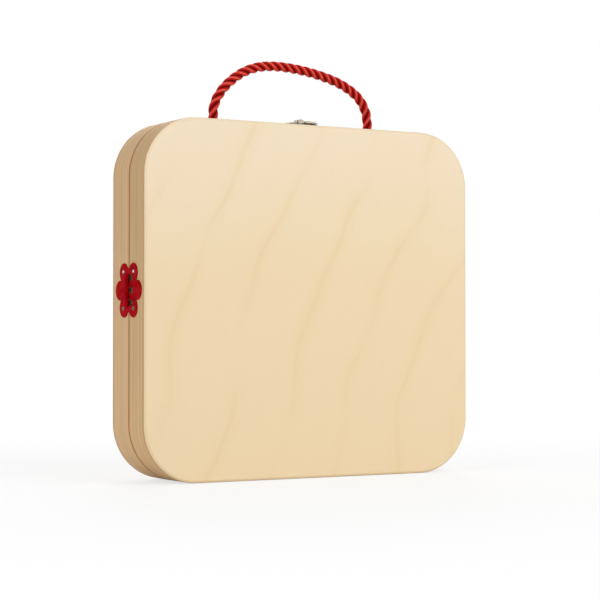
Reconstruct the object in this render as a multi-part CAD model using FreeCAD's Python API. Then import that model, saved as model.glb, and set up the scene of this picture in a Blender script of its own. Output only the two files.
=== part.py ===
"""A flat wooden toy tool case that opens like a book on one flower hinge.

Millimetres. X runs across the case, Y from the front panel (low) to the back panel (high) and Z up.
The origin is on the resting face, below the middle of the case's width and depth.
"""

import FreeCAD, Part
import math
import os

from FreeCAD import Vector

os.makedirs("parts", exist_ok=True)

# How closely edges are matched to a place, and how far a cutter reaches past what it cuts
match_tolerance = 1e-4
overshoot = 1.0

# Case
case_width = 324.0
case_height = 306.0
case_depth = 64.0
corner_radius = 49.0
seam_place = -2.0  # from the middle of the depth
seam_gap = 0.4
seam_round = 0.8
panel_thickness = 5.0
panel_round = 2.5
wall_thickness = 10.0

# Hinge, in places measured from the seam along Y and from the hinge's middle along Z
hinge_height = 161.0
sheet_thickness = 0.8
hinge_pin_radius = 1.0
hinge_pin_play = 0.1
hinge_stand_off = 2.4  # from the case's side to the pin's centre
knuckle_count = 5
knuckle_gap = 0.25
barrel_length = 26.0
pin_overhang = 0.4
curl_mouth = 0.6
curl_mouth_start = 0.4  # from the pin's centre
leaf_gap = 0.35
leaf_body_width = 11.5
leaf_edge_rise = 18.5
leaf_corner_radius = 0.9
leaf_edge_round = 0.25
front_notch = 9.0
back_notch = 3.0
petal_radius = 8.2
petal_offset = 9.0
petal_rise = 14.6
middle_petal_radius = 8.4
middle_petal_offset = 16.6
nail_offset = 9.7
nail_rise = 15.3

# Fasteners
nail_head_radius = 1.8
nail_head_height = 0.9
nail_shank_radius = 0.75
nail_length = 8.5
screw_head_radius = 1.8
screw_head_height = 1.1
screw_shank_radius = 0.9
screw_length = 7.5
tip_length = 1.5
tip_radius = 0.15
slot_width = 0.5
slot_depth = 0.5
wood_hole_play = 0.05
plate_hole_play = 0.2

# Latch, in places measured from the seam along Y and from the case's top along Z
base_half_width = 6.5
base_back = -5.0
base_length = 21.0
base_corner_radius = 1.5
base_screws = (9.6, 15.4)  # from the back end of the base
ear_radius = 2.4
lever_pivot_y = -8.5
lever_pivot_z = 3.9
lever_side_gap = 0.3
rivet_radius = 0.95
rivet_play = 0.05
rivet_head_radius = 1.6
rivet_head_height = 0.6
tongue_pin_back = 3.4  # from the lever's pivot
tongue_pin_drop = 0.9
tongue_pin_radius = 0.9
tongue_pin_play = 0.1
tongue_half_width = 3.5
tongue_bend = 8.0  # from the tongue's pin
tongue_bend_rise = 2.0
tongue_end_rise = 2.6
hook_depth = 4.2
hook_gap = 0.45
lever_opening = 9.2  # from the lever's pivot to the start of its plate
lever_plate_rise = 2.2
lever_reach = 18.4
lever_bend = 14.2
lever_bend_rise = 0.3
lever_end_rise = -1.9
lever_lip = 1.8
lever_lobe_radius = 2.2
lever_pin_lobe_radius = 1.9
flange_end_rise = -2.6
catch_half_width = 5.0
catch_lip_half_width = 4.0
catch_front = 3.0
catch_lip_place = 12.4
catch_lip_play = 0.5
catch_screw_place = 7.0
catch_screw_spread = 2.9

# Rope handle, in places measured from the case's top along Z
rope_diameter = 8.8
rope_plane = 8.0  # from the seam
rope_hole_play = 0.5
rope_end_gap = 0.3
knot_radius = 11.0
knot_height = 18.0
knot_round = 6.0
knot_lean = 5.0  # from the rope's hole towards the back
tail_lean = 10.0
rope_tail_length = 10.0
rope_route = (
    (-79.0, 5.0), (-79.0, 13.7), (-75.2, 23.1), (-68.7, 32.1), (-59.8, 40.3), (-48.9, 47.5),
    (-35.5, 52.7), (-19.3, 54.7), (-1.9, 54.2), (15.5, 52.2), (31.9, 49.1), (47.3, 44.9),
    (60.1, 39.1), (69.4, 32.7), (75.5, 24.7), (79.0, 14.9), (79.0, 5.0),
)

# Worked out from the sizes above
half_width = case_width / 2
top = case_height
back_face = case_depth / 2
front_face = -case_depth / 2
back_seam = seam_place + seam_gap / 2
front_seam = seam_place - seam_gap / 2
hinge_x = -half_width - hinge_stand_off
leaf_face = -half_width - sheet_thickness
knuckle_radius = hinge_pin_radius + hinge_pin_play + sheet_thickness
lever_y = seam_place + lever_pivot_y
lever_z = top + lever_pivot_z
tongue_y = lever_y - tongue_pin_back
tongue_z = lever_z - tongue_pin_drop
ear_inner = base_half_width - sheet_thickness
flange_outer = ear_inner - lever_side_gap
flange_inner = flange_outer - sheet_thickness
curl_radius = tongue_pin_radius + tongue_pin_play + sheet_thickness
half_rope = rope_diameter / 2
rope_y = seam_place + rope_plane


def box(xs, ys, zs):
    """A box between two places on each axis, given in either order."""
    low = Vector(min(xs), min(ys), min(zs))
    return Part.makeBox(abs(xs[1] - xs[0]), abs(ys[1] - ys[0]), abs(zs[1] - zs[0]), low)


def rod(radius, start, end):
    """A round bar from one point to another."""
    run = end - start
    return Part.makeCylinder(radius, run.Length, start, run)


def disc(radius, x0, x1, y, z):
    """A round disc with its axis across the case."""
    return rod(radius, Vector(x0, y, z), Vector(x1, y, z))


def outline(inset, place):
    """The case's outline drawn in by inset, as a wire at one depth."""
    side = half_width - inset
    radius = corner_radius - inset
    lean = radius * math.sqrt(0.5)
    arcs = []
    for sx, sz in ((1, 1), (-1, 1), (-1, -1), (1, -1)):
        cx = sx * (side - radius)
        cz = top / 2 + sz * (top / 2 - inset - radius)
        ends = [Vector(cx + sx * radius, place, cz), Vector(cx, place, cz + sz * radius)]
        if sx != sz:
            ends.reverse()
        arcs.append((ends[0], Vector(cx + sx * lean, place, cz + sz * lean), ends[1]))
    edges = []
    for i, (first, middle, last) in enumerate(arcs):
        edges.append(Part.Arc(first, middle, last).toShape())
        edges.append(Part.makeLine(last, arcs[(i + 1) % 4][0]))
    return Part.Wire(edges)


def slab(inset, y0, y1):
    """The case's outline as a solid between two depths."""
    return Part.Face(outline(inset, y0)).extrude(Vector(0, y1 - y0, 0))


def rounded(solid, place, radius):
    """A slab or ring with the edge round its outline softened at one depth."""
    line = outline(0, place)
    edges = []
    for edge in solid.Edges:
        middle = edge.valueAt((edge.FirstParameter + edge.LastParameter) / 2)
        level = max(abs(edge.BoundBox.YMin - place), abs(edge.BoundBox.YMax - place)) < match_tolerance
        if level and Part.Vertex(middle).distToShape(line)[0] < match_tolerance:
            edges.append(edge)
    return solid.makeFillet(radius, edges)


def panel(outer, inner):
    """A plywood panel with a rounded outer edge."""
    return rounded(slab(0, outer, inner), outer, panel_round)


def ring(y0, y1):
    """One plywood ring of a shell's wall."""
    return slab(0, y0, y1).cut(slab(wall_thickness, y0, y1))


def fastener(seat, inward, head_radius, head_height, shank_radius, length, slotted=False):
    """A domed head on a pointed shank, with the head resting on seat."""
    ball = (head_radius**2 + head_height**2) / (2 * head_height)
    dome = Part.makeSphere(ball, seat + inward * (ball - head_height))
    head = dome.common(rod(head_radius, seat, seat - inward * head_height))
    if slotted:
        bar = Part.makeBox(2 * head_radius, slot_width, 2 * slot_depth)
        bar.translate(seat - inward * head_height - bar.CenterOfMass)
        head = head.cut(bar)
    neck = seat + inward * (length - tip_length)
    shank = rod(shank_radius, seat, neck)
    tip = Part.makeCone(shank_radius, tip_radius, tip_length, neck, inward)
    return head.fuse([shank, tip]).removeSplitter()


def drill(solid, seats, inward, radius, depth):
    """The solid with a round hole from each seat inwards."""
    return solid.cut([rod(radius, seat, seat + inward * depth) for seat in seats])


def strip(points, thickness, half):
    """Sheet metal that follows a line in the YZ plane, to half its width on each side of the middle."""
    left = []
    right = []
    runs = [Vector(0, b[0] - a[0], b[1] - a[1]).normalize() for a, b in zip(points, points[1:])]
    for i, (y, z) in enumerate(points):
        before = runs[max(i - 1, 0)]
        after = runs[min(i, len(runs) - 1)]
        middle = (before + after).normalize()
        reach = thickness / 2 / middle.dot(before)
        normal = Vector(0, -middle.z, middle.y) * reach
        left.append(Vector(-half, y, z) + normal)
        right.append(Vector(-half, y, z) - normal)
    corners = left + right[::-1]
    return Part.Face(Part.makePolygon(corners + corners[:1])).extrude(Vector(2 * half, 0, 0))


def plate_outline(points, x0, x1):
    """A flat outline in the YZ plane as a solid between two places across the case."""
    corners = [Vector(x0, y, z) for y, z in points]
    return Part.Face(Part.makePolygon(corners + corners[:1])).extrude(Vector(x1 - x0, 0, 0))


def nail_seats(side):
    """Where the nails of one leaf go through its face; side is 1 at the back and -1 at the front."""
    y = seam_place + side * nail_offset
    return [Vector(leaf_face, y, hinge_height + rise) for rise in (nail_rise, -nail_rise)]


def hinge_leaf(side):
    """A leaf of three petals with its share of the knuckles; side is 1 at the back and -1 at the front."""
    def body(near, far, low, high):
        """A piece of the leaf's sheet, from the seam and from the hinge's middle."""
        ys = (seam_place + side * near, seam_place + side * far)
        return box((leaf_face, -half_width), ys, (hinge_height + low, hinge_height + high))

    petals = [(petal_offset, petal_rise, petal_radius), (petal_offset, -petal_rise, petal_radius)]
    petals.append((middle_petal_offset, 0, middle_petal_radius))
    discs = [
        disc(radius, leaf_face, -half_width, seam_place + side * offset, hinge_height + rise)
        for offset, rise, radius in petals
    ]
    edge = body(leaf_gap, petal_offset, -leaf_edge_rise, leaf_edge_rise)
    through = [line for line in edge.Edges if line.BoundBox.XLength > sheet_thickness / 2]
    corners = [line for line in through if abs(line.BoundBox.Center.y - seam_place) < petal_offset / 2]
    edge = edge.makeFillet(leaf_corner_radius, corners)
    leaf = body(leaf_gap, leaf_body_width, -petal_rise, petal_rise).fuse([edge] + discs).removeSplitter()
    rim = [edge for edge in leaf.Edges if abs(edge.BoundBox.XMax - leaf_face) < match_tolerance]
    leaf = leaf.makeFillet(leaf_edge_round, rim)

    pitch = barrel_length / knuckle_count
    notch = back_notch if side > 0 else front_notch
    curls = []
    notches = []
    for i in range(knuckle_count):
        low = i * pitch - barrel_length / 2
        high = low + pitch
        if (i % 2 == 0) == (side > 0):
            start = Vector(hinge_x, seam_place, hinge_height + low + knuckle_gap / 2)
            length = pitch - knuckle_gap
            end = start + Vector(0, 0, length)
            mouth_end = knuckle_radius + overshoot
            mouth_ys = (seam_place + side * curl_mouth_start, seam_place + side * mouth_end)
            mouth = box((leaf_face, leaf_face - curl_mouth), mouth_ys, (start.z, end.z))
            curl = rod(knuckle_radius, start, end).cut(rod(hinge_pin_radius + hinge_pin_play, start, end))
            root = body(0, front_notch, low + knuckle_gap / 2, high - knuckle_gap / 2)
            curls += [curl.cut(mouth), root]
        else:
            notches.append(body(-overshoot, notch, low - knuckle_gap / 2, high + knuckle_gap / 2))
    leaf = leaf.cut(notches).fuse(curls)
    hole_radius = nail_shank_radius + plate_hole_play
    return drill(leaf, nail_seats(side), Vector(1, 0, 0), hole_radius, sheet_thickness)


def hinge_pin():
    """The hinge's pin, just longer than the barrel."""
    reach = barrel_length / 2 + pin_overhang
    return rod(hinge_pin_radius, Vector(hinge_x, seam_place, hinge_height - reach),
               Vector(hinge_x, seam_place, hinge_height + reach))


def nails(side):
    """The two nails of one leaf."""
    return Part.makeCompound([
        fastener(seat, Vector(1, 0, 0), nail_head_radius, nail_head_height, nail_shank_radius, nail_length)
        for seat in nail_seats(side)
    ])


def base_seats():
    """Where the screws of the latch's base rest."""
    y = seam_place + base_back
    return [Vector(0, y - place, top + sheet_thickness) for place in base_screws]


def catch_seats():
    """Where the screws of the catch rest."""
    y = seam_place + catch_screw_place
    return [Vector(x, y, top + sheet_thickness) for x in (-catch_screw_spread, catch_screw_spread)]


def screws(seats):
    """A set of slotted screws with their points down."""
    down = Vector(0, 0, -1)
    return Part.makeCompound([
        fastener(seat, down, screw_head_radius, screw_head_height, screw_shank_radius, screw_length, True)
        for seat in seats
    ])


def latch_base():
    """The latch's base plate with the two ears that carry the lever."""
    back = seam_place + base_back
    front = back - base_length
    plate = box((-base_half_width, base_half_width), (back, front), (top, top + sheet_thickness))
    upright = [e for e in plate.Edges if e.BoundBox.ZLength > sheet_thickness / 2]
    plate = plate.makeFillet(base_corner_radius, upright)
    ears = []
    for side in (-1, 1):
        xs = (side * ear_inner, side * base_half_width)
        ears.append(disc(ear_radius, xs[0], xs[1], lever_y, lever_z))
        ears.append(box(xs, (lever_y - ear_radius, lever_y + ear_radius), (top, lever_z)))
    base = plate.fuse(ears).removeSplitter()
    base = base.cut(disc(rivet_radius + rivet_play, -base_half_width, base_half_width, lever_y, lever_z))
    hole_radius = screw_shank_radius + plate_hole_play
    return drill(base, base_seats(), Vector(0, 0, -1), hole_radius, sheet_thickness)


def latch_lever():
    """The lever: a bent plate with a flange on each side."""
    half_sheet = sheet_thickness / 2
    line = [
        (lever_y - lever_opening, lever_z + lever_plate_rise - half_sheet),
        (lever_y - lever_bend, lever_z + lever_bend_rise - half_sheet),
        (lever_y - lever_reach + lever_lip, lever_z + lever_end_rise - half_sheet),
        (lever_y - lever_reach, lever_z + lever_end_rise),
    ]
    lever = strip(line, sheet_thickness, flange_outer)
    side = [
        (lever_y, lever_z + lever_lobe_radius),
        (lever_y - lever_opening, lever_z + lever_plate_rise),
        (lever_y - lever_opening, lever_z + lever_plate_rise - half_sheet),
        (lever_y - lever_bend, lever_z + lever_bend_rise - half_sheet),
        (lever_y - lever_bend, lever_z + flange_end_rise),
        (tongue_y, tongue_z - lever_pin_lobe_radius),
        (lever_y, lever_z - lever_lobe_radius),
    ]
    for x in (-flange_outer, flange_inner):
        flange = plate_outline(side, x, x + sheet_thickness)
        flange = flange.fuse([
            disc(lever_lobe_radius, x, x + sheet_thickness, lever_y, lever_z),
            disc(lever_pin_lobe_radius, x, x + sheet_thickness, tongue_y, tongue_z),
        ])
        lever = lever.fuse(flange)
    bores = [
        disc(rivet_radius + rivet_play, -flange_outer, flange_outer, lever_y, lever_z),
        disc(tongue_pin_radius + rivet_play, -flange_outer, flange_outer, tongue_y, tongue_z),
    ]
    return lever.removeSplitter().cut(bores)


def lever_rivets():
    """The two short rivets that the lever turns on."""
    rivets = []
    for side in (-1, 1):
        inner = side * flange_inner
        outer = side * base_half_width
        shank = disc(rivet_radius, inner, outer, lever_y, lever_z)
        ball = (rivet_head_radius**2 + rivet_head_height**2) / (2 * rivet_head_height)
        dome = Part.makeSphere(ball, Vector(outer + side * (rivet_head_height - ball), lever_y, lever_z))
        head = dome.common(disc(rivet_head_radius, outer, outer + side * rivet_head_height, lever_y, lever_z))
        rivets.append(shank.fuse(head).removeSplitter())
    return Part.makeCompound(rivets)


def latch_tongue():
    """The tongue: a curl round its pin and a plate that hooks over the catch."""
    half_sheet = sheet_thickness / 2
    curl_top = tongue_z + curl_radius - half_sheet
    hook_y = seam_place + catch_lip_place + hook_gap + half_sheet
    line = [
        (tongue_y, curl_top),
        (tongue_y + tongue_bend, tongue_z + tongue_bend_rise),
        (hook_y, tongue_z + tongue_end_rise),
        (hook_y, tongue_z + tongue_end_rise - hook_depth),
    ]
    plate = strip(line, sheet_thickness, tongue_half_width)
    curl = disc(curl_radius, -tongue_half_width, tongue_half_width, tongue_y, tongue_z)
    bore_radius = tongue_pin_radius + tongue_pin_play
    bore = disc(bore_radius, -tongue_half_width, tongue_half_width, tongue_y, tongue_z)
    return curl.fuse(plate).removeSplitter().cut(bore)


def latch_catch():
    """The catch: a plate with an upright lip at its back end, which the tongue hooks behind."""
    lip_back = seam_place + catch_lip_place
    front = seam_place + catch_front
    plate = box((-catch_half_width, catch_half_width), (front, lip_back), (top, top + sheet_thickness))
    lip_top = tongue_z + tongue_bend_rise - sheet_thickness / 2 - catch_lip_play
    lip_front = lip_back - sheet_thickness
    lip = box((-catch_lip_half_width, catch_lip_half_width), (lip_front, lip_back), (top, lip_top))
    catch = plate.fuse(lip).removeSplitter()
    hole_radius = screw_shank_radius + plate_hole_play
    return drill(catch, catch_seats(), Vector(0, 0, -1), hole_radius, sheet_thickness)


def rope_points():
    """The handle's route in space."""
    return [Vector(x, rope_y, top + z) for x, z in rope_route]


def rope_path(points):
    """Straight runs joined by the largest tangent arcs that they allow, as a wire; it prints the radii."""
    edges = []
    radii = []
    start = points[0]
    for before, point, after in zip(points, points[1:], points[2:]):
        into = (point - before).normalize()
        out = (after - point).normalize()
        turn = into.getAngle(out)
        reach = 0.45 * min((point - before).Length, (after - point).Length)
        radius = reach / math.tan(turn / 2)
        first = point - into * reach
        last = point + out * reach
        sag = radius * (1 / math.cos(turn / 2) - 1)
        middle = point + (out - into).normalize() * sag
        edges.append(Part.LineSegment(start, first).toShape())
        edges.append(Part.Arc(first, middle, last).toShape())
        radii.append(round(radius, 1))
        start = last
    edges.append(Part.LineSegment(start, points[-1]).toShape())
    print("rope arc radii", radii)
    return Part.Wire(edges)


def handle_rope():
    """The free arch of the rope, with a half ball at each foot, about which it sways."""
    points = rope_points()
    path = rope_path(points)
    section = Part.Wire(Part.makeCircle(half_rope, points[0], points[1] - points[0]))
    tube = path.makePipeShell([section], True, False)
    print("rope length", round(path.Length, 2), "tube volume over section times length",
          round(tube.Volume / (math.pi * half_rope**2 * path.Length), 5))
    feet = [
        Part.makeSphere(half_rope, point, Vector(0, 0, 1), -90, 0, 360)
        for point in (points[0], points[-1])
    ]
    return tube.fuse(feet)


def rope_end(side):
    """The rope inside its hole; side is -1 on the left and 1 on the right."""
    foot = rope_points()[0 if side < 0 else -1]
    high = foot - Vector(0, 0, half_rope + rope_end_gap)
    low = Vector(foot.x, foot.y, top - wall_thickness - rope_end_gap)
    return rod(half_rope, low, high)


def rope_knot(side):
    """The knot under the wall, to one side of its hole, with the rope's short tail."""
    foot = rope_points()[0 if side < 0 else -1]
    high = Vector(foot.x, foot.y + knot_lean, top - wall_thickness - rope_end_gap)
    low = high - Vector(0, 0, knot_height)
    knot = rod(knot_radius, high, low)
    knot = knot.makeFillet(knot_round, [e for e in knot.Edges if e.Closed])
    tail = Vector(foot.x, foot.y + tail_lean, (high.z + low.z) / 2)
    tail_end = Vector(tail.x, tail.y, low.z - rope_tail_length)
    return knot.fuse(rod(half_rope, tail, tail_end)).removeSplitter()


def drilled(wood, side):
    """One of a shell's rings with the holes for what is fixed to that shell; side is 1 at the back."""
    wood = drill(wood, nail_seats(side), Vector(1, 0, 0), nail_shank_radius + wood_hole_play, nail_length)
    down = Vector(0, 0, -1)
    seats = catch_seats() if side > 0 else base_seats()
    wood = drill(wood, seats, down, screw_shank_radius + wood_hole_play, screw_length)
    if side > 0:
        points = rope_points()
        tops = [Vector(p.x, p.y, top) for p in (points[0], points[-1])]
        wood = drill(wood, tops, down, half_rope + rope_hole_play, wall_thickness)
    return wood


def case_pieces():
    """The two panels and four rings, with the holes for all that is fixed to them."""
    back_inner = back_face - panel_thickness
    front_inner = front_face + panel_thickness
    back_joint = (back_seam + back_inner) / 2
    front_joint = (front_seam + front_inner) / 2
    return {
        "back_panel": panel(back_face, back_inner),
        "back_ring_outer": drilled(ring(back_joint, back_inner), 1),
        "back_ring_inner": drilled(rounded(ring(back_seam, back_joint), back_seam, seam_round), 1),
        "front_ring_inner": drilled(rounded(ring(front_joint, front_seam), front_seam, seam_round), -1),
        "front_ring_outer": drilled(ring(front_inner, front_joint), -1),
        "front_panel": panel(front_face, front_inner),
    }


pieces = case_pieces()
pieces["hinge_leaf_back"] = hinge_leaf(1)
pieces["hinge_leaf_front"] = hinge_leaf(-1)
pieces["hinge_pin"] = hinge_pin()
pieces["hinge_nails_back"] = nails(1)
pieces["hinge_nails_front"] = nails(-1)
pieces["latch_base"] = latch_base()
pieces["latch_base_screws"] = screws(base_seats())
pieces["latch_lever"] = latch_lever()
pieces["latch_lever_rivets"] = lever_rivets()
pieces["latch_tongue"] = latch_tongue()
pieces["latch_tongue_pin"] = disc(tongue_pin_radius, -flange_outer, flange_outer, tongue_y, tongue_z)
pieces["latch_catch"] = latch_catch()
pieces["latch_catch_screws"] = screws(catch_seats())
pieces["handle_rope"] = handle_rope()
for name, side in (("left", -1), ("right", 1)):
    pieces["rope_end_" + name] = rope_end(side)
    pieces["rope_knot_" + name] = rope_knot(side)

for name, shape in pieces.items():
    print(name, "solids", len(shape.Solids), "valid", shape.isValid(), "volume", round(shape.Volume, 1))
    shape.exportStep("parts/" + name + ".step")
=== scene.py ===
"""The looks of a flat wooden toy tool case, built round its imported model.

Metres. X runs across the case away from the hinge, Y from the front panel to the back panel and Z up.
"""

import logging
import math
from dataclasses import dataclass
from enum import Enum

import bpy
import numpy as np
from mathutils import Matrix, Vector

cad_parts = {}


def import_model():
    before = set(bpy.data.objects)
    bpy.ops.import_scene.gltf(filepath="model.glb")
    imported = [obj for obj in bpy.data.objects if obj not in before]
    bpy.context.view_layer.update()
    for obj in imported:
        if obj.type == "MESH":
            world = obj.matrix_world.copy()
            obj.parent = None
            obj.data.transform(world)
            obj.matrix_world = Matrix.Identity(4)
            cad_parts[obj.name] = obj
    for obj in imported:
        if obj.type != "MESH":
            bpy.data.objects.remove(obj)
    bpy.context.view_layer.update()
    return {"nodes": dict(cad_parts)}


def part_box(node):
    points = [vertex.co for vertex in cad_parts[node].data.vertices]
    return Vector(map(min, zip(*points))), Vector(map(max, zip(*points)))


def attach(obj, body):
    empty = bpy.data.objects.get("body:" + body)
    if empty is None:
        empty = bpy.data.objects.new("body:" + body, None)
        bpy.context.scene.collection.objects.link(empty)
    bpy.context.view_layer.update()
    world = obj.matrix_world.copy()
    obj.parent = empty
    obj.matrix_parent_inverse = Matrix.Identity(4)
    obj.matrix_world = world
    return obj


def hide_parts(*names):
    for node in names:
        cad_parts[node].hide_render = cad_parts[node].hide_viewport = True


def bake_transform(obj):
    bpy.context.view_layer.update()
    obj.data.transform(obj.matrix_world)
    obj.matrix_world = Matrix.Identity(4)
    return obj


LOG = logging.getLogger("toy_tool_case")
MM = 0.001
TURN = 2 * math.pi

Points = np.ndarray
Socket = bpy.types.NodeSocket
Colour = tuple[float, float, float]


class Shell(Enum):
    """The two halves of the case, by the names of their bodies."""

    BACK = "back_shell"
    FRONT = "front_shell"


class Side(Enum):
    """The two feet of the handle, by their sign along X."""

    LEFT = -1
    RIGHT = 1


# Materials


class Graph:
    """A material with one Principled shader, and short ways to build its nodes."""

    def __init__(self, name: str) -> None:
        """Start an empty procedural material.

        Args:
            name: The material's name.
        """
        self.material = bpy.data.materials.new(name)
        self.material.use_nodes = True
        self.tree = self.material.node_tree
        self.shader = next(n for n in self.tree.nodes if n.type == "BSDF_PRINCIPLED")
        self.coordinates = self.tree.nodes.new("ShaderNodeTexCoord")

    @property
    def place(self) -> Socket:
        """Object coordinates, which are the case's own metres."""
        return self.coordinates.outputs["Object"]

    def put(self, target: Socket, value: object) -> None:
        """Link a socket or write a plain value into an input.

        Args:
            target: The input to fill.
            value: Another node's output, or a number, vector or colour.
        """
        if isinstance(value, bpy.types.NodeSocket):
            self.tree.links.new(value, target)
        elif hasattr(value, "__len__") and len(value) == 3 and target.type == "RGBA":
            target.default_value = (*value, 1.0)
        else:
            target.default_value = value

    def math(self, operation: str, *values: object) -> Socket:
        """A math node.

        Args:
            operation: Blender's name of the operation.
            values: Its inputs, as sockets or numbers.

        Returns:
            The result's socket.
        """
        node = self.tree.nodes.new("ShaderNodeMath")
        node.operation = operation
        for target, value in zip(node.inputs, values):
            self.put(target, value)
        return node.outputs[0]

    def scaled(self, factors: Colour, source: Socket | None = None, shift: Colour = (0, 0, 0)) -> Socket:
        """Coordinates multiplied along each axis.

        Args:
            factors: How much each axis is multiplied.
            source: The coordinates, which are the object's own where none are given.
            shift: What is added after that.

        Returns:
            The changed coordinates.
        """
        node = self.tree.nodes.new("ShaderNodeMapping")
        self.put(node.inputs["Vector"], source or self.place)
        self.put(node.inputs["Scale"], factors)
        self.put(node.inputs["Location"], shift)
        return node.outputs[0]

    def noise(self, vector: Socket, scale: float = 1.0, detail: float = 2.0, rough: float = 0.5) -> Socket:
        """A noise value round one half.

        Args:
            vector: Where it is read.
            scale: Its frequency.
            detail: The number of finer layers.
            rough: How strong the finer layers are.

        Returns:
            The noise factor's socket.
        """
        node = self.tree.nodes.new("ShaderNodeTexNoise")
        for name, value in (("Vector", vector), ("Scale", scale), ("Detail", detail), ("Roughness", rough)):
            self.put(node.inputs[name], value)
        return node.outputs[0]

    def axes(self, vector: Socket | None = None) -> tuple[Socket, Socket, Socket]:
        """The three parts of a vector, which is the place where none is given."""
        node = self.tree.nodes.new("ShaderNodeSeparateXYZ")
        self.put(node.inputs[0], vector or self.place)
        return node.outputs[0], node.outputs[1], node.outputs[2]

    def joined(self, x: object, y: object, z: object) -> Socket:
        """A vector from three values."""
        node = self.tree.nodes.new("ShaderNodeCombineXYZ")
        for target, value in zip(node.inputs, (x, y, z)):
            self.put(target, value)
        return node.outputs[0]

    def fit(self, value: Socket, low: float, high: float, out_low: float = 0.0, out_high: float = 1.0) -> Socket:
        """A value moved smoothly from one range to another, and held at its ends.

        Args:
            value: What is moved.
            low: Where the range starts.
            high: Where the range ends.
            out_low: What the start becomes.
            out_high: What the end becomes.

        Returns:
            The moved value's socket.
        """
        node = self.tree.nodes.new("ShaderNodeMapRange")
        node.interpolation_type = "SMOOTHSTEP"
        for target, number in zip(node.inputs, (value, low, high, out_low, out_high)):
            self.put(target, number)
        return node.outputs[0]

    def mix(self, factor: object, first: object, second: object, how: str = "MIX") -> Socket:
        """Two colours mixed.

        Args:
            factor: The second colour's share.
            first: The colour at 0.
            second: The colour at 1.
            how: The way in which they are mixed.

        Returns:
            The mixed colour's socket.
        """
        node = self.tree.nodes.new("ShaderNodeMix")
        node.data_type = "RGBA"
        node.blend_type = how
        self.put(node.inputs[0], factor)
        self.put(node.inputs[6], first)
        self.put(node.inputs[7], second)
        return node.outputs[2]

    def bump(self, height: Socket, distance: float, strength: float = 1.0) -> None:
        """Raise the surface by a height of 0 to 1 times a distance in metres."""
        node = self.tree.nodes.new("ShaderNodeBump")
        self.put(node.inputs["Height"], height)
        self.put(node.inputs["Distance"], distance)
        self.put(node.inputs["Strength"], strength)
        self.put(self.shader.inputs["Normal"], node.outputs[0])

    def finish(self, colour: object, roughness: object, **others: float) -> bpy.types.Material:
        """Fill the shader.

        Args:
            colour: The base colour.
            roughness: The roughness.
            others: More inputs by name, with low lines for blanks.

        Returns:
            The finished material.
        """
        self.put(self.shader.inputs["Base Color"], colour)
        self.put(self.shader.inputs["Roughness"], roughness)
        for name, value in others.items():
            self.put(self.shader.inputs[name.replace("_", " ")], value)
        return self.material


@dataclass(frozen=True)
class Veneer:
    """The pale rotary-cut veneer of the panels, with its slow figure, fine grain and painted light that makes its top
    paler.
    """

    # pale is also the painted light at the top of the face; warm is the veneer below it.
    pale: Colour = (0.865, 0.722, 0.518)
    warm: Colour = (0.845, 0.670, 0.430)
    vein: Colour = (0.745, 0.53, 0.225)
    lean: float = math.radians(70)
    vein_spacing: float = 0.060
    vein_warp: float = 0.036
    cut: float = 0.0

    def colour(self, graph: Graph) -> tuple[Socket, Socket]:
        """Paint the veneer in the XZ plane.

        The grain's own coordinates are the place along it and across it. A vein is the narrow peak of a sine
        across the grain inside a wider, weaker halo. One slow noise bends all the veins together, and another
        lets them fade. Fibres are noise that is stretched along the grain. The ground is paler at the top, which
        is painted light from above.
        The cut is where in the log the sheet lay, so that two sheets differ in their figure.

        Args:
            graph: The material to draw in.

        Returns:
            The colour and the height of the fibres.
        """
        x, _, z = graph.axes()
        sine, cosine = math.sin(self.lean), math.cos(self.lean)
        along = graph.math("ADD", graph.math("MULTIPLY", x, cosine), graph.math("MULTIPLY", z, sine))
        across = graph.math("SUBTRACT", graph.math("MULTIPLY", x, sine), graph.math("MULTIPLY", z, cosine))

        def grain(over: float, length: float, seed: float, detail: float = 2.0) -> Socket:
            """Noise with one frequency across the grain and one along it."""
            place = graph.joined(graph.math("MULTIPLY", across, over), graph.math("MULTIPLY", along, length), seed + self.cut)
            return graph.noise(place, detail=detail)

        slow = graph.math("SUBTRACT", grain(4.0, 8.0, 0.3, 1.0), 0.5)
        bent = graph.math("ADD", across, graph.math("MULTIPLY", slow, 2 * self.vein_warp))
        wave = graph.math("SINE", graph.math("MULTIPLY", bent, TURN / self.vein_spacing))
        line = graph.fit(wave, 0.93, 1.0, 0.0, 0.15)
        halo = graph.fit(wave, 0.35, 1.0, 0.0, 0.07)
        veins = graph.math("MULTIPLY", graph.math("ADD", line, halo), graph.fit(grain(16.0, 9.0, 4.1), 0.30, 0.60))
        fibres = grain(950.0, 38.0, 0.0, 4.0)
        height = graph.math("ADD", z, graph.math("MULTIPLY", grain(9.0, 5.0, 8.7), 0.10))
        # Painted light: the veneer turns from warm to pale towards the top, standing in for light from above.
        ground = graph.mix(graph.fit(height, 0.19, 0.36), self.warm, self.pale)
        ground = graph.mix(graph.math("MULTIPLY", graph.fit(fibres, 0.45, 0.75), 0.07), ground, self.vein)
        ground = graph.mix(graph.fit(grain(1500.0, 260.0, 2.0, 1.0), 0.68, 0.80, 0.0, 0.18), ground, self.vein)
        return graph.mix(veins, ground, self.vein), fibres


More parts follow.
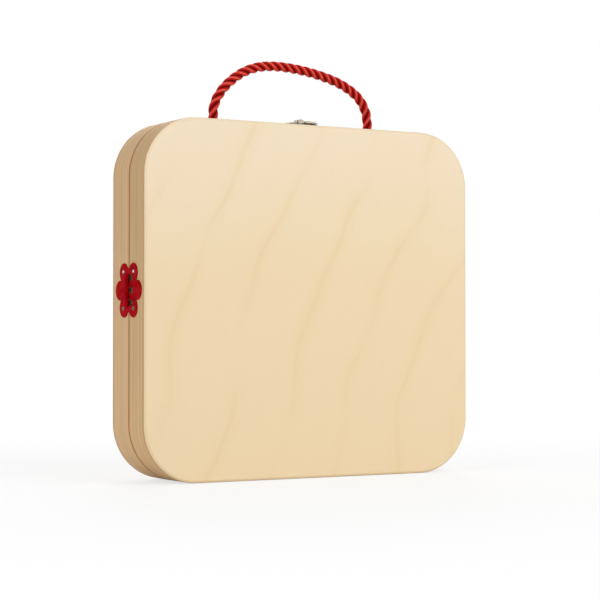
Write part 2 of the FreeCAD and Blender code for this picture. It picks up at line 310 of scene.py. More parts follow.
@dataclass(frozen=True)
class Layers:
    """The sanded edge of plywood: thin layers in turn along and across the grain, which follow the outline."""

    pale: Colour
    brown: Colour
    # Painted light: how much the floor's bounce brightens the wood at the bottom and at the top.
    painted_bounce: tuple[float, float] = (1.11, 1.03)
    pore: Colour = (0.36, 0.22, 0.11)
    ply: float = 0.0031

    def colour(self, graph: Graph) -> tuple[Socket, Socket]:
        """Paint the layers by their place along Y.

        Noise that hardly changes along X and Z gives streaks that run round the case, at two scales. Each layer
        is a little lighter or browner than the next, with short pores in the layers whose end grain shows. The
        wood is painted lighter towards the bottom and a little browner towards the top, which is painted light
        bounced up from the floor.

        Args:
            graph: The material to draw in.

        Returns:
            The colour and the height of the streaks.
        """
        _, y, z = graph.axes()
        wander = graph.noise(graph.scaled((9.0, 0.0, 9.0)))
        drift = graph.math("MULTIPLY", graph.math("SUBTRACT", wander, 0.5), 0.0016)
        depth = graph.math("ADD", y, drift)
        layer = graph.math("SINE", graph.math("MULTIPLY", depth, TURN / (2 * self.ply)))
        coarse = graph.noise(graph.scaled((7.0, 620.0, 7.0)), detail=2.0)
        fine = graph.noise(graph.scaled((14.0, 2100.0, 14.0)), detail=3.0)
        pores = graph.noise(graph.scaled((420.0, 2400.0, 420.0)), detail=1.0)
        share = graph.math("ADD", graph.fit(layer, -0.5, 0.5, 0.0, 0.45), graph.fit(coarse, 0.36, 0.66, 0.0, 0.55))
        ground = graph.mix(share, self.pale, self.brown)
        # Painted light: brighter towards the bottom, standing in for light bounced up from the floor.
        ground = graph.mix(1.0, ground, graph.fit(z, 0.05, 0.25, *self.painted_bounce), "MULTIPLY")
        ground = graph.mix(graph.math("MULTIPLY", graph.fit(fine, 0.50, 0.80), 0.30), ground, self.pore)
        spots = graph.math("MULTIPLY", graph.fit(pores, 0.66, 0.80), graph.fit(layer, -0.2, 0.6, 0.0, 0.5))
        return graph.mix(spots, ground, self.pore), fine


@dataclass(frozen=True)
class PanelFinish:
    """A panel: veneer on its faces and layers on its rounded edge."""

    veneer: Veneer = Veneer()
    edge_pale: Colour = (0.64, 0.405, 0.205)
    edge_brown: Colour = (0.56, 0.345, 0.165)
    bevel_tint: Colour = (0.965, 0.955, 0.925)
    bevel_line: Colour = (0.66, 0.44, 0.22)
    roughness: float = 0.52

    def build(self, name: str, face: float, inner: float) -> bpy.types.Material:
        """Make the material for a panel between two depths.

        The rounded edge is bare pale wood, with a faint line where the face's veneer ends.

        Args:
            name: The material's name.
            face: The outer face's place along Y.
            inner: The inner face's place along Y.

        Returns:
            The material.
        """
        graph = Graph(name)
        faces, fibres = self.veneer.colour(graph)
        _, y, _ = graph.axes()
        _, lie, _ = graph.axes(graph.coordinates.outputs["Normal"])
        depth = graph.math("DIVIDE", graph.math("SUBTRACT", y, face), inner - face)
        core = graph.math(
            "MULTIPLY", graph.fit(depth, 0.16, 0.26), graph.fit(depth, 0.78, 0.86, 1.0, 0.35)
        )
        streaks = graph.noise(graph.scaled((16.0, 1500.0, 16.0)), detail=3.0)
        pores = graph.noise(graph.scaled((700.0, 1500.0, 700.0)), detail=2.0)
        edge = graph.mix(core, self.edge_pale, self.edge_brown)
        edge = graph.mix(graph.math("MULTIPLY", graph.fit(streaks, 0.45, 0.75), 0.30), edge, (0.40, 0.25, 0.12))
        edge = graph.mix(graph.math("MULTIPLY", graph.fit(pores, 0.58, 0.75), 0.30), edge, (0.34, 0.20, 0.09))
        facing = graph.math("ABSOLUTE", lie)
        bevel = graph.mix(1.0, faces, self.bevel_tint, "MULTIPLY")
        colour = graph.mix(graph.fit(facing, 0.36, 0.54), edge, bevel)
        colour = graph.mix(graph.fit(facing, 0.95, 0.975), colour, faces)
        rim = graph.math("MULTIPLY", graph.fit(facing, 0.93, 0.955), graph.fit(facing, 0.965, 0.99, 0.34, 0.0))
        colour = graph.mix(rim, colour, self.bevel_line)
        height = graph.math("ADD", graph.math("MULTIPLY", fibres, 0.6), graph.math("MULTIPLY", streaks, 0.4))
        graph.bump(height, 0.00012, 0.35)
        rough = graph.fit(fibres, 0.3, 0.8, self.roughness - 0.06, self.roughness + 0.08)
        return graph.finish(colour, rough, Specular_IOR_Level=0.16)


@dataclass(frozen=True)
class PaintedSlotShade:
    """Painted shadow on the wood that shows through the slots of the hinge's front leaf, where the sheet's shadow
    falls.
    """

    side: float
    middle: tuple[float, float]
    reach: tuple[float, float]
    dark: Colour = (0.075, 0.006, 0.005)

    def share(self, graph: Graph) -> Socket:
        """How much painted shadow the wood gets: nearly all over a block beside the seam, broken by paler noise."""
        x, y, z = graph.axes()
        inside = graph.fit(x, self.side, self.side + 0.001, 1.0, 0.0)
        for value, middle, reach in zip((y, z), self.middle, self.reach):
            away = graph.math("ABSOLUTE", graph.math("SUBTRACT", value, middle))
            inside = graph.math("MULTIPLY", inside, graph.fit(away, reach - 0.0006, reach, 1.0, 0.0))
        chips = graph.noise(graph.scaled((500.0, 330.0, 700.0)), detail=1.0)
        return graph.math("MULTIPLY", inside, graph.fit(chips, 0.36, 0.58, 0.78, 1.0))


@dataclass(frozen=True)
class RingFinish:
    """A wall ring: layers on the sides and plain veneer where the halves meet."""

    layers: Layers
    slot_shade: "PaintedSlotShade | None" = None
    veneer: Veneer = Veneer()
    seam_dark: Colour = (0.42, 0.185, 0.080)
    roughness: float = 0.62

    def build(self, name: str, seam: float, joint: float) -> bpy.types.Material:
        """Make the material for a ring.

        Args:
            name: The material's name.
            seam: Where the two halves meet along Y, along which the wood is made darker in a narrow band.
            joint: Where the two rings of the half are glued, along Y.

        Returns:
            The material.
        """
        graph = Graph(name)
        sides, streaks = self.layers.colour(graph)
        faces, _ = self.veneer.colour(graph)
        _, y, _ = graph.axes()
        _, lie, _ = graph.axes(graph.coordinates.outputs["Normal"])
        from_seam = graph.math("ABSOLUTE", graph.math("SUBTRACT", y, seam))
        from_joint = graph.math("ABSOLUTE", graph.math("SUBTRACT", y, joint))
        colour = graph.mix(graph.fit(from_joint, 0.0, 0.0005, 0.35, 0.0), sides, self.layers.pore)
        # The wood is darker in a narrow band along the seam.
        colour = graph.mix(graph.fit(from_seam, 0.0008, 0.0018, 0.95, 0.0), colour, self.seam_dark)
        # Painted shadow in the slots under the hinge's front leaf.
        if self.slot_shade:
            colour = graph.mix(self.slot_shade.share(graph), colour, self.slot_shade.dark)
        facing = graph.fit(graph.math("ABSOLUTE", lie), 0.88, 0.99)
        colour = graph.mix(facing, colour, faces)
        graph.bump(streaks, 0.00014, 0.45)
        rough = graph.fit(streaks, 0.3, 0.8, self.roughness - 0.05, self.roughness + 0.1)
        return graph.finish(colour, rough, Specular_IOR_Level=0.08)


@dataclass(frozen=True)
class HingePaint:
    """Glossy red paint on stamped sheet, with small chips scattered at random."""

    red: Colour = (0.44, 0.002, 0.006)
    deep: Colour = (0.31, 0.001, 0.004)
    steel: Colour = (0.40, 0.38, 0.36)

    def build(self, name: str) -> bpy.types.Material:
        """Make the material, with a slow change of colour, flow marks and small chips."""
        graph = Graph(name)
        slow = graph.noise(graph.scaled((160.0, 160.0, 160.0)), detail=2.0)
        chips = graph.noise(graph.scaled((1500.0, 1500.0, 1500.0)), detail=2.0)
        bare = graph.fit(chips, 0.775, 0.80)
        colour = graph.mix(graph.fit(slow, 0.35, 0.65), self.red, self.deep)
        colour = graph.mix(bare, colour, self.steel)
        flow = graph.noise(graph.scaled((700.0, 700.0, 700.0)), detail=1.0)
        graph.bump(flow, 0.00008, 0.35)
        return graph.finish(colour, graph.fit(slow, 0.3, 0.7, 0.42, 0.52), Specular_IOR_Level=0.01)


@dataclass(frozen=True)
class Plated:
    """A plated metal with rolling lines, a slow haze, fine scratches, and painted shade on its low and under sides."""

    bright: Colour
    dull: Colour
    roughness: float
    # The colour of the painted shade.
    painted_shade: Colour = (0.085, 0.070, 0.050)

    def build(self, name: str, lit_height: float, shade_height: float) -> bpy.types.Material:
        """Make the material.

        Args:
            name: The material's name.
            lit_height: The height from which it has no painted shade.
            shade_height: The height down from which its painted shade is full.

        Returns:
            The material.
        """
        graph = Graph(name)
        haze = graph.noise(graph.scaled((330.0, 330.0, 330.0)), detail=3.0)
        lines = graph.noise(graph.scaled((6000.0, 500.0, 6000.0)), detail=2.0)
        pits = graph.noise(graph.scaled((2600.0, 2600.0, 2600.0)), detail=1.0)
        colour = graph.mix(graph.fit(haze, 0.35, 0.7), self.bright, self.dull)
        colour = graph.mix(graph.fit(pits, 0.68, 0.78, 0.0, 0.4), colour, (0.16, 0.13, 0.10))
        _, _, z = graph.axes()
        _, _, up = graph.axes(graph.coordinates.outputs["Normal"])
        # Painted shade: darker low down and on faces that look down, where shadow and the dark floor's reflection fall.
        shaded = graph.math("MAXIMUM", graph.fit(z, shade_height, lit_height, 0.85, 0.0), graph.fit(up, -0.6, -0.1, 0.9, 0.0))
        colour = graph.mix(shaded, colour, self.painted_shade)
        graph.bump(lines, 0.00003, 0.4)
        rough = graph.fit(lines, 0.3, 0.7, self.roughness - 0.06, self.roughness + 0.08)
        return graph.finish(colour, rough, Metallic=1.0)


@dataclass(frozen=True)
class SatinCord:
    """Shiny red yarn, laid in strands: fine threads slant over each strand, with a painted highlight on each crest and
    painted shade in the creases.
    """

    bright: Colour = (0.50, 0.007, 0.004)
    deep: Colour = (0.27, 0.001, 0.001)
    painted_highlight: Colour = (1.0, 0.15, 0.09)
    shadow: Colour = (0.11, 0.0, 0.0)
    threads: float = 10.0
    slant: float = 0.28

    def build(self, name: str) -> bpy.types.Material:
        """Make the material from the strand's own map.

        U is the length along the strand in centimetres and V the turn round it. A thread is the crest of a
        sine of V and U together, broken up by noise. The attribute called crease is 1 deep between strands,
        where the colour is darkened as painted shade, and below 0 on a strand's crest, where a painted highlight
        follows the threads.

        Args:
            name: The material's name.

        Returns:
            The material.
        """
        graph = Graph(name)
        u, v, _ = graph.axes(graph.coordinates.outputs["UV"])
        phase = graph.math(
            "ADD", graph.math("MULTIPLY", v, self.threads), graph.math("MULTIPLY", u, self.threads * self.slant)
        )
        jitter = graph.noise(graph.joined(graph.math("MULTIPLY", u, 2.0), graph.math("MULTIPLY", v, 9.0), 0.0))
        wave = graph.math("SINE", graph.math("MULTIPLY", graph.math("ADD", phase, jitter), TURN))
        thread = graph.fit(wave, -1.0, 1.0)
        fluff = graph.noise(graph.scaled((1400.0, 1400.0, 1400.0)), detail=2.0)
        attribute = graph.tree.nodes.new("ShaderNodeAttribute")
        attribute.attribute_name = "crease"
        crease = attribute.outputs["Fac"]
        # Painted highlight on the strands' crests, along the threads.
        crest = graph.math("MULTIPLY", graph.fit(crease, -1.0, -0.50, 0.85, 0.0), graph.fit(wave, -0.3, 0.9, 0.40, 1.0))
        shade = graph.math("ADD", graph.math("MULTIPLY", thread, -0.36), graph.fit(fluff, 0.3, 0.7, 0.32, 0.48))
        colour = graph.mix(shade, self.bright, self.deep)
        colour = graph.mix(crest, colour, self.painted_highlight)
        # Painted shade in the creases between strands.
        colour = graph.mix(graph.fit(crease, 0.2, 1.0, 0.0, 0.95), colour, self.shadow)
        graph.bump(graph.math("ADD", thread, graph.math("MULTIPLY", fluff, 0.4)), 0.00012, 0.55)
        return graph.finish(
            colour, graph.fit(fluff, 0.3, 0.7, 0.36, 0.48), Sheen_Weight=0.03, Sheen_Roughness=0.4,
            Specular_IOR_Level=0.08,
        )


# Shapes


def mesh_object(name: str, points: Points, faces: list, smooth: bool = True) -> bpy.types.Object:
    """Make a mesh object at the origin.

    Args:
        name: The object's name.
        points: Its vertices, in metres.
        faces: Its faces, as lists of vertex numbers.
        smooth: Whether its faces are shaded smooth.

    Returns:
        The linked object.
    """
    mesh = bpy.data.meshes.new(name)
    mesh.from_pydata(points.reshape(-1, 3).tolist(), [], faces)
    mesh.update()
    if smooth:
        mesh.polygons.foreach_set("use_smooth", np.ones(len(mesh.polygons), bool))
    piece = bpy.data.objects.new(name, mesh)
    bpy.context.scene.collection.objects.link(piece)
    return piece


def lengths(path: Points) -> Points:
    """The distance from the path's start to each of its points."""
    return np.r_[0.0, np.cumsum(np.linalg.norm(np.diff(path, axis=0), axis=1))]


def evenly(path: Points, step: float) -> Points:
    """The path's points put an equal distance apart.

    Args:
        path: Points along a line.
        step: The distance that is wanted.

    Returns:
        The new points, with both ends kept.
    """
    along = lengths(path)
    marks = np.linspace(0, along[-1], max(2, round(along[-1] / step)) + 1)
    return np.stack([np.interp(marks, along, path[:, k]) for k in range(3)], 1)


def directions(path: Points) -> Points:
    """The unit tangent at each point of a path."""
    tangent = np.gradient(path, axis=0)
    return tangent / np.linalg.norm(tangent, axis=1, keepdims=True)


def carried_frame(path: Points) -> tuple[Points, Points]:
    """Two normals that go along a path without turning about it.

    Each step turns the last normal by what the tangent turned, taken as its part square to the new tangent.

    Args:
        path: Points along a line.

    Returns:
        The two normals at each point.
    """
    tangent = directions(path)
    first = np.cross(tangent[0], (0.0, 1.0, 0.0))
    if np.linalg.norm(first) < 0.1:
        first = np.cross(tangent[0], (1.0, 0.0, 0.0))
    normal = first / np.linalg.norm(first)
    normals = np.empty_like(path)
    for i, line in enumerate(tangent):
        normal = normal - line * normal.dot(line)
        normal = normal / np.linalg.norm(normal)
        normals[i] = normal
    return normals, np.cross(tangent, normals)


@dataclass
class Strands:
    """Round strands laid about a line, as in a twisted rope."""

    count: int = 3
    radius: float = 4.4 * MM
    pitch: float = 24.3 * MM
    loose_pitch: float = 33.0 * MM
    loose_reach: float = 22.0 * MM
    taper: float = 3.75 * MM
    start: float = -0.85
    section: int = 22
    step: float = 0.8 * MM
    swell: float = 1.05

    def build(
        self, name: str, path: Points, feet: tuple[float, ...] = (), waist: tuple[float, float, float] | None = None
    ) -> bpy.types.Object:
        """Lay the strands along a path as one mesh.

        A strand's centre goes round the path at the distance where the strands touch: the outer radius less the
        strand's own, which is the outer radius over 1 plus 1 over the sine of half a strand's share of a turn.
        Its angle grows by the length over the pitch, and the pitch is longer near the rope's feet. Its section
        is a circle, a little wider round the rope than out of it, square to the strand's own direction. A waist
        draws the rope thinner between two places.

        Args:
            name: The object's name.
            path: The rope's middle line.
            feet: The places along the path where the lay opens.
            waist: Where the rope gets thinner, where it gets thick again, and its share of the radius there.

        Returns:
            The object, with its map in a UV layer and its creases in an attribute, which places the cord's painted
            shade and painted highlight.
        """
        line = evenly(path, self.step)
        along = lengths(line)
        normal, other = carried_frame(line)
        pitch = np.full(len(along), self.pitch)
        for foot in feet:
            pitch += (self.loose_pitch - self.pitch) * np.exp(-(((along - foot) / self.loose_reach) ** 2))
        turn = self.start + np.r_[0.0, np.cumsum(np.diff(along) * TURN / ((pitch[1:] + pitch[:-1]) / 2))]
        outer = np.full((len(along), 1), self.radius)
        if waist:
            inside = np.minimum(along - waist[0], waist[1] - along) / self.taper
            outer *= 1 - (1 - waist[2]) * np.clip(inside, 0, 1)[:, None]
        strand = outer / (1 + 1 / math.sin(math.pi / self.count))
        ring = np.linspace(0, TURN, self.section + 1)[:-1]
        points, faces, uvs, creases = [], [], [], []
        for k in range(self.count):
            angle = turn + k * TURN / self.count
            out = np.cos(angle)[:, None] * normal + np.sin(angle)[:, None] * other
            centre = line + (outer - strand) * out
            tangent = directions(centre)
            outward = out - tangent * np.sum(out * tangent, 1, keepdims=True)
            outward /= np.linalg.norm(outward, axis=1, keepdims=True)
            across = np.cross(tangent, outward)
            rows = (
                centre[:, None]
                + (strand * np.cos(ring))[:, :, None] * outward[:, None]
                + (strand * self.swell * np.sin(ring))[:, :, None] * across[:, None]
            )
            base = k * (rows.shape[0] * self.section + 2)
            i, j = np.meshgrid(np.arange(rows.shape[0] - 1), np.arange(self.section), indexing="ij")
            corner = base + i * self.section + j
            beside = base + i * self.section + (j + 1) % self.section
            quads = np.stack([corner, beside, beside + self.section, corner + self.section], -1).reshape(-1, 4)
            run = lengths(centre) * 100
            u = np.stack([run[i], run[i], run[i + 1], run[i + 1]], -1).reshape(-1)
            v = np.stack([j, j + 1, j + 1, j], -1).reshape(-1) / self.section
            start = base + rows.shape[0] * self.section
            caps = []
            for row, pole, order in ((0, start, -1), (rows.shape[0] - 1, start + 1, 1)):
                rim = base + row * self.section + np.arange(self.section)[::order]
                caps += np.stack([rim, np.roll(rim, -1), np.full(self.section, pole)], 1).tolist()
            points += [rows.reshape(-1, 3), centre[[0, -1]]]
            faces += quads.tolist() + caps
            uvs.append(np.stack([u, v], 1))
            uvs.append(np.zeros((3 * len(caps), 2)))
            # The crease attribute: above 0 between strands for the painted shade, below 0 on the crests for the painted
            # highlight.
            depth = (0.62 - np.cos(ring)) / 0.62
            creases += [np.tile(np.where(depth > 0, np.clip(depth, 0, 1), depth / 0.61), rows.shape[0]), np.ones(2)]
        piece = mesh_object(name, np.concatenate(points), faces)
        layer = piece.data.uv_layers.new(name="lay")
        layer.data.foreach_set("uv", np.concatenate(uvs).astype(np.float32).reshape(-1))
        crease = piece.data.attributes.new("crease", "FLOAT", "POINT")
        crease.data.foreach_set("value", np.concatenate(creases).astype(np.float32))
        return piece


@dataclass
class StopKnot:
    """An overhand knot, drawn tight, that keeps an end of the rope from slipping out of its hole."""

    strands: Strands
    rope: float = 7.2 * MM
    spacing: float = 2.0 * MM
    lead: float = 14.8 * MM
    ring: float = 7.2 * MM
    lobe: float = 3.6 * MM
    rounds: int = 1500
    pull: float = 0.05 * MM
    calm: float = 0.3
    gap: float = 0.4 * MM
    tail: float = 9.0 * MM

    def loose(self) -> Points:
        """The knot before it is drawn tight, as evenly spaced points.

        The line winds twice round a ring and three times through it, which is a trefoil. It is cut open at the
        outside of one lobe, and a straight lead goes up from one end and down from the other.
        """
        turn = np.linspace(0.12, 2 * TURN - 0.12, 500)
        reach = self.ring + self.lobe * np.cos(1.5 * turn)
        outside = self.ring + self.lobe
        body = np.stack([reach * np.cos(turn) - outside, self.lobe * np.sin(1.5 * turn), reach * np.sin(turn)], 1)
        rise = np.linspace(1.5 * MM, self.lead, 60)
        flat = np.zeros_like(rise)
        beside = np.array([0.4, 0.5, 0.0]) * self.rope
        low = np.stack([flat, flat, -rise[::-1]], 1) + beside
        high = np.stack([flat, flat, rise], 1) + beside * (1, -1, 1)
        return evenly(np.concatenate([low, body, high]), self.spacing)

    def tied(self) -> Points:
        """The knot drawn tight.

        In each round the two ends move apart, every point goes part of the way to the middle of its neighbours,
        points nearer than the rope's diameter push each other away, and each pair of neighbours goes back to
        its length.

        Returns:
            The knot's middle line, from its lower end to its upper end.
        """
        line = self.loose()
        step = lengths(line)[-1] / (len(line) - 1)
        number = np.arange(len(line))
        near = np.abs(number[:, None] - number) < math.ceil(2.2 * self.rope / step)
        for _ in range(self.rounds):
            line[0] = (line[3, 0], line[3, 1], line[0, 2] - self.pull)
            line[-1] = (line[-4, 0], line[-4, 1], line[-1, 2] + self.pull)
            line[1:-1] += self.calm * ((line[:-2] + line[2:]) / 2 - line[1:-1])
            apart = line[:, None] - line
            far = np.sqrt((apart**2).sum(2)) + 1e-9
            push = np.where((far < self.rope) & ~near, (self.rope - far) / far * 0.4, 0)
            line += (push[:, :, None] * apart).sum(1)
            for _ in range(6):
                for first in (0, 1):
                    pairs = (len(line) - first) // 2
                    low = line[first : first + 2 * pairs : 2]
                    high = line[first + 1 : first + 2 * pairs : 2]
                    link = high - low
                    size = np.linalg.norm(link, axis=1, keepdims=True)
                    fix = link * (0.5 * (size - step) / size)
                    low += fix
                    high -= fix
        return line

    def build(self, side: Side, line: Points, foot: tuple[float, float], under: float) -> bpy.types.Object:
        """Put a tied knot under its hole.

        Args:
            side: The left or the right foot.
            line: The tied line.
            foot: The hole's place along X and Y.
            under: The height of the wall's underside.

        Returns:
            The knot's object, which rides on the back shell.
        """
        away = np.minimum(
            np.linalg.norm(line[:, :2] - line[0, :2], axis=1), np.linalg.norm(line[:, :2] - line[-1, :2], axis=1)
        )
        body = line[away > 1.0 * MM]
        high = body[:, 2].max() + self.rope / 2
        low = body[:, 2].min() - self.rope / 2
        place = line - (line[-1, 0], line[-1, 1], high)
        keep = (place[:, 2] < self.gap + 2.0 * MM) & (place[:, 2] > low - high - self.tail)
        place = place[keep] * (side.value, 1.0, 1.0) if side is Side.RIGHT else place[keep] * (1.0, 1.0, 1.0)
        place += (foot[0], foot[1], under - self.gap)
        total = lengths(place)[-1]
        name = "rope_knot_" + side.name.lower()
        piece = self.strands.build(name + "_tied", place[::-1], waist=(2 * MM, total - self.tail, 0.82))
        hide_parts(name)
        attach(piece, Shell.BACK.value)
        LOG.info("%s knot: %.1f mm of cord", side.name.lower(), total / MM)
        return piece


@dataclass
class RopeHandle:
    """The rope handle: a free arch of twisted cord through two holes, with a knot inside at each end."""

    finish: SatinCord
    strands: Strands
    knot: StopKnot
    plane: float = 6.0 * MM
    hole_depth: float = 10.0 * MM
    bend_low: float = -2.0 * MM
    bend_high: float = 12.0 * MM
    route: tuple = (
        (-79.0, 5.0), (-79.0, 13.7), (-75.2, 23.1), (-68.7, 32.1), (-59.8, 40.3), (-48.9, 47.5),
        (-35.5, 52.7), (-19.3, 54.7), (-1.9, 54.2), (15.5, 52.2), (31.9, 49.1), (47.3, 44.9),
        (60.1, 39.1), (69.4, 32.7), (75.5, 24.7), (79.0, 14.9), (79.0, 5.0),
    )

    def spline(self, top: float) -> Points:
        """The smooth line through the arch.

        Args:
            top: The height of the case's top.

        Returns:
            The points of the route's NURBS spline, as the curve itself gives them.
        """
        curve = bpy.data.curves.new("handle_line", "CURVE")
        curve.dimensions = "3D"
        line = curve.splines.new("NURBS")
        line.points.add(len(self.route) - 1)
        places = np.array([(x * MM, self.plane, top + z * MM, 1.0) for x, z in self.route])
        line.points.foreach_set("co", places.astype(np.float32).reshape(-1))
        line.order_u = 3
        line.use_endpoint_u = True
        line.resolution_u = 12
        holder = bpy.data.objects.new("handle_line", curve)
        bpy.context.scene.collection.objects.link(holder)
        bpy.context.view_layer.update()
        ready = holder.evaluated_get(bpy.context.evaluated_depsgraph_get())
        mesh = bpy.data.meshes.new_from_object(ready)
        points = np.empty(len(mesh.vertices) * 3)
        mesh.vertices.foreach_get("co", points)
        bpy.data.objects.remove(holder)
        bpy.data.meshes.remove(mesh)
        bpy.data.curves.remove(curve)
        return points.reshape(-1, 3)

    def build(self, top: float) -> bpy.types.Object:
        """Make the rope from the underside of one hole over the arch to the other.

        Args:
            top: The height of the case's top.

        Returns:
            The rope's object.
        """
        arch = self.spline(top)
        low = top - self.hole_depth
        drop = np.linspace(low, arch[0, 2], 12)[:-1]
        left = np.stack([np.full(11, arch[0, 0]), np.full(11, self.plane), drop], 1)
        right = np.stack([np.full(11, arch[-1, 0]), np.full(11, self.plane), drop[::-1]], 1)
        path = np.concatenate([left, arch, right])
        total = lengths(path)[-1]
        feet = (self.hole_depth, total - self.hole_depth)
        rope = self.strands.build("rope_handle", path, feet)
        line = self.knot.tied()
        knots = [self.knot.build(side, line, (side.value * arch[-1, 0], self.plane), low) for side in Side]
        cord = self.finish.build("satin_cord")
        for piece in (rope, *knots):
            cover(piece, cord)
        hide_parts("handle_rope", "rope_end_left", "rope_end_right")
        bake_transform(rope)
        LOG.info("rope handle: %.1f mm of cord from hole to hole", total / MM)
        return rope


# The case


@dataclass(frozen=True)
class Half:
    """One half of the case, with the finishes of its panel and of its two rings."""

    shell: Shell
    panel: PanelFinish
    ring: RingFinish


@dataclass
class WoodenShells:
    """The two halves of the case, which meet at the seam."""

    halves: tuple[Half, Half]
    seam: float = -2.0 * MM

    def dress(self, nodes: dict[str, bpy.types.Object]) -> None:
        """Give the panels and rings their wood.

        Args:
            nodes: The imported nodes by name.
        """
        for half in self.halves:
            word = half.shell.name.lower()
            back = half.shell is Shell.BACK
            low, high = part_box(word + "_panel")
            outer, inner = (high.y, low.y) if back else (low.y, high.y)
            cover(nodes[word + "_panel"], half.panel.build(word + "_panel_wood", outer, inner))
            low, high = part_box(word + "_ring_outer")
            wood = half.ring.build(word + "_wall_wood", self.seam, low.y if back else high.y)
            cover(nodes[word + "_ring_outer"], wood)
            cover(nodes[word + "_ring_inner"], wood)
            LOG.info("%s: panel and two rings dressed", word)


@dataclass
class Hardware:
    """The hinge, the latch and their fasteners."""

    paint: HingePaint
    nickel: Plated
    steel: Plated
    nail: Plated
    # Heights over the latch's base between which its painted shade fades out.
    lit_height: float = 3.3 * MM
    shade_height: float = 1.8 * MM
    half_leaf: float = 10.0 * MM

    def dress(self, nodes: dict[str, bpy.types.Object]) -> None:
        """Give each metal piece its finish.

        Args:
            nodes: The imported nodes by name.
        """
        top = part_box("latch_base")[0].z
        low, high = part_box("hinge_pin")
        middle = (low.z + high.z) / 2
        red = self.paint.build("hinge_paint")
        # The latch gets painted shade near its base, under the lever.
        nickel = self.nickel.build("latch_nickel", top + self.lit_height, top + self.shade_height)
        steel = self.steel.build("latch_steel", top + self.lit_height, top + self.shade_height)
        # The nails get painted shade below the hinge's middle, standing in for the darker reflection of the floor.
        nail = self.nail.build("nail_steel", middle + self.half_leaf, middle - self.half_leaf)
        for name, node in nodes.items():
            if name.startswith(("hinge_leaf", "hinge_pin")):
                cover(node, red)
            elif name in ("latch_base", "latch_lever", "latch_tongue", "latch_catch"):
                cover(node, nickel)
            elif name.startswith("hinge_nails"):
                cover(node, nail)
            elif name.startswith("latch_"):
                cover(node, steel)
        LOG.info("hinge and latch dressed")


def cover(piece: bpy.types.Object, material: bpy.types.Material) -> None:
    """Give a piece one material all over."""
    piece.data.materials.clear()
    piece.data.materials.append(material)


# The studio


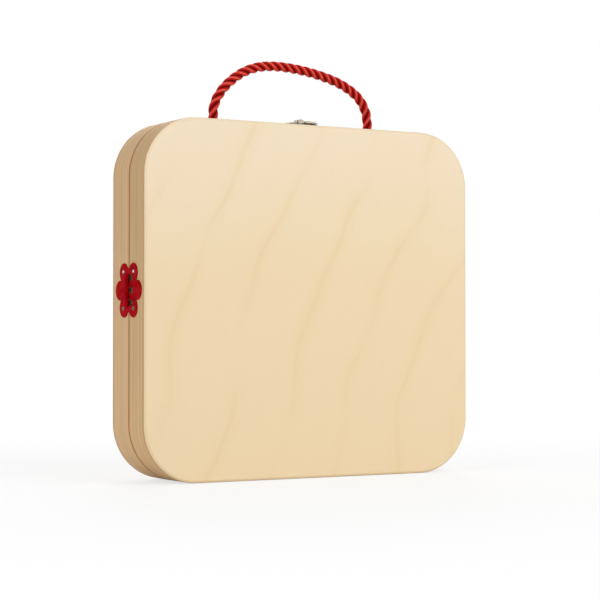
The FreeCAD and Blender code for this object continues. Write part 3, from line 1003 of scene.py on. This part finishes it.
@dataclass
class Studio:
    """A pale floor, soft lamps, a white room and the camera."""

    eye: tuple = (-799.02 * MM, -1371.14 * MM, 122.63 * MM)
    yaw: float = 0.5302
    pitch: float = 0.0201
    lens: float = 108.0
    shift_x: float = 0.0
    shift_y: float = 0.0
    room: Colour = (0.93, 0.95, 1.0)
    room_strength: float = 0.62

    def camera(self) -> None:
        """Put the camera at the photograph's angle."""
        data = bpy.data.cameras.new("camera")
        data.sensor_width = 36.0
        data.lens = self.lens
        data.shift_x = self.shift_x
        data.shift_y = self.shift_y
        data.clip_end = 50.0
        camera = bpy.data.objects.new("camera", data)
        camera.location = self.eye
        camera.rotation_euler = (math.pi / 2 + self.pitch, 0.0, -self.yaw)
        bpy.context.scene.collection.objects.link(camera)
        bpy.context.scene.camera = camera

    def lamp(self, name: str, place: tuple, size: float, power: float, tint: Colour) -> None:
        """A square soft lamp that looks at the middle of the case.

        Args:
            name: The lamp's name.
            place: Where it hangs.
            size: The length of its side.
            power: Its strength in watts.
            tint: Its colour.
        """
        data = bpy.data.lights.new(name, "AREA")
        data.size = size
        data.energy = power
        data.color = tint
        lamp = bpy.data.objects.new(name, data)
        lamp.location = place
        aim = Vector((0.0, 0.0, 0.16)) - Vector(place)
        lamp.rotation_euler = aim.to_track_quat("-Z", "Y").to_euler()
        bpy.context.scene.collection.objects.link(lamp)

    def white_for_camera(self, tree: bpy.types.NodeTree, lit: Socket, share: object) -> Socket:
        """Add plain white to what the camera sees, alone or in metal and glass.

        Args:
            tree: The node tree.
            lit: The shader that other rays see.
            share: How much of the white is shown.

        Returns:
            The mixed shader's socket.
        """
        path = tree.nodes.new("ShaderNodeLightPath")
        seen = path.outputs["Is Camera Ray"]
        for ray in ("Is Glossy Ray", "Is Transmission Ray"):
            either = tree.nodes.new("ShaderNodeMath")
            either.operation = "MAXIMUM"
            tree.links.new(seen, either.inputs[0])
            tree.links.new(path.outputs[ray], either.inputs[1])
            seen = either.outputs[0]
        part = tree.nodes.new("ShaderNodeMath")
        part.operation = "MULTIPLY"
        tree.links.new(seen, part.inputs[0])
        if isinstance(share, bpy.types.NodeSocket):
            tree.links.new(share, part.inputs[1])
        else:
            part.inputs[1].default_value = share
        glow = tree.nodes.new("ShaderNodeEmission")
        mixed = tree.nodes.new("ShaderNodeMixShader")
        tree.links.new(part.outputs[0], mixed.inputs[0])
        tree.links.new(lit, mixed.inputs[1])
        tree.links.new(glow.outputs[0], mixed.inputs[2])
        return mixed.outputs[0]

    def floor(self) -> None:
        """A wide pale floor that keeps a soft shadow."""
        reach = 12.0
        corners = np.array([(-reach, -reach, 0), (reach, -reach, 0), (reach, reach, 0), (-reach, reach, 0)], float)
        corners[:, 2] = -0.0002
        floor = mesh_object("floor", corners, [[0, 1, 2, 3]], smooth=False)
        graph = Graph("pale_floor")
        graph.finish((0.90, 0.90, 0.89), 0.7)
        out = next(n for n in graph.tree.nodes if n.type == "OUTPUT_MATERIAL")
        x, y, _ = graph.axes()
        reach = graph.math("SQRT", graph.math("ADD", graph.math("POWER", x, 2.0), graph.math("POWER", y, 2.0)))
        mixed = self.white_for_camera(graph.tree, graph.shader.outputs[0], graph.fit(reach, 0.2, 0.8, 0.70, 1.0))
        graph.tree.links.new(mixed, out.inputs[0])
        cover(floor, graph.material)

    def world(self) -> None:
        """A soft room, which the camera sees as white."""
        world = bpy.data.worlds.new("room")
        world.use_nodes = True
        bpy.context.scene.world = world
        tree = world.node_tree
        ground = next(n for n in tree.nodes if n.type == "BACKGROUND")
        ground.inputs[0].default_value = (*self.room, 1.0)
        ground.inputs[1].default_value = self.room_strength
        out = next(n for n in tree.nodes if n.type == "OUTPUT_WORLD")
        tree.links.new(self.white_for_camera(tree, ground.outputs[0], 1.0), out.inputs[0])

    def build(self) -> None:
        """Set up the whole studio."""
        self.camera()
        self.world()
        self.floor()
        self.lamp("key", (0.7, -1.9, 1.7), 1.4, 23.4, (1.0, 0.99, 0.97))
        self.lamp("fill", (-2.0, -0.6, 1.1), 1.2, 9.0, (1.0, 0.98, 0.96))
        self.lamp("back", (0.9, 1.9, 1.2), 1.4, 12.0, (1.0, 0.99, 0.97))
        bpy.context.scene.view_settings.view_transform = "Standard"
        LOG.info("studio ready")


def main() -> None:
    """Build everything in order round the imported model."""
    logging.basicConfig(level=logging.INFO, format="%(message)s")
    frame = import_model()
    nodes = frame["nodes"]
    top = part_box("back_panel")[1].z
    Studio().build()
    strands = Strands()
    RopeHandle(finish=SatinCord(), strands=strands, knot=StopKnot(strands)).build(top)
    back = Half(
        shell=Shell.BACK,
        panel=PanelFinish(Veneer(cut=3.7)),
        ring=RingFinish(Layers(pale=(0.668, 0.454, 0.250), brown=(0.572, 0.377, 0.200))),
    )
    front = Half(
        shell=Shell.FRONT,
        panel=PanelFinish(),
        ring=RingFinish(
            Layers(pale=(0.604, 0.412, 0.214), brown=(0.508, 0.332, 0.166), painted_bounce=(1.17, 1.03)),
            PaintedSlotShade(side=-161.5 * MM, middle=(-7.0 * MM, 161.0 * MM), reach=(4.8 * MM, 13.6 * MM)),
        ),
    )
    WoodenShells(halves=(back, front)).dress(nodes)
    Hardware(
        paint=HingePaint(),
        nickel=Plated(bright=(0.68, 0.63, 0.52), dull=(0.45, 0.40, 0.31), roughness=0.26),
        steel=Plated(bright=(0.46, 0.42, 0.36), dull=(0.28, 0.25, 0.21), roughness=0.30),
        nail=Plated(bright=(0.52, 0.40, 0.40), dull=(0.34, 0.25, 0.25), roughness=0.30),
    ).dress(nodes)


if __name__ == "__main__":
    main()
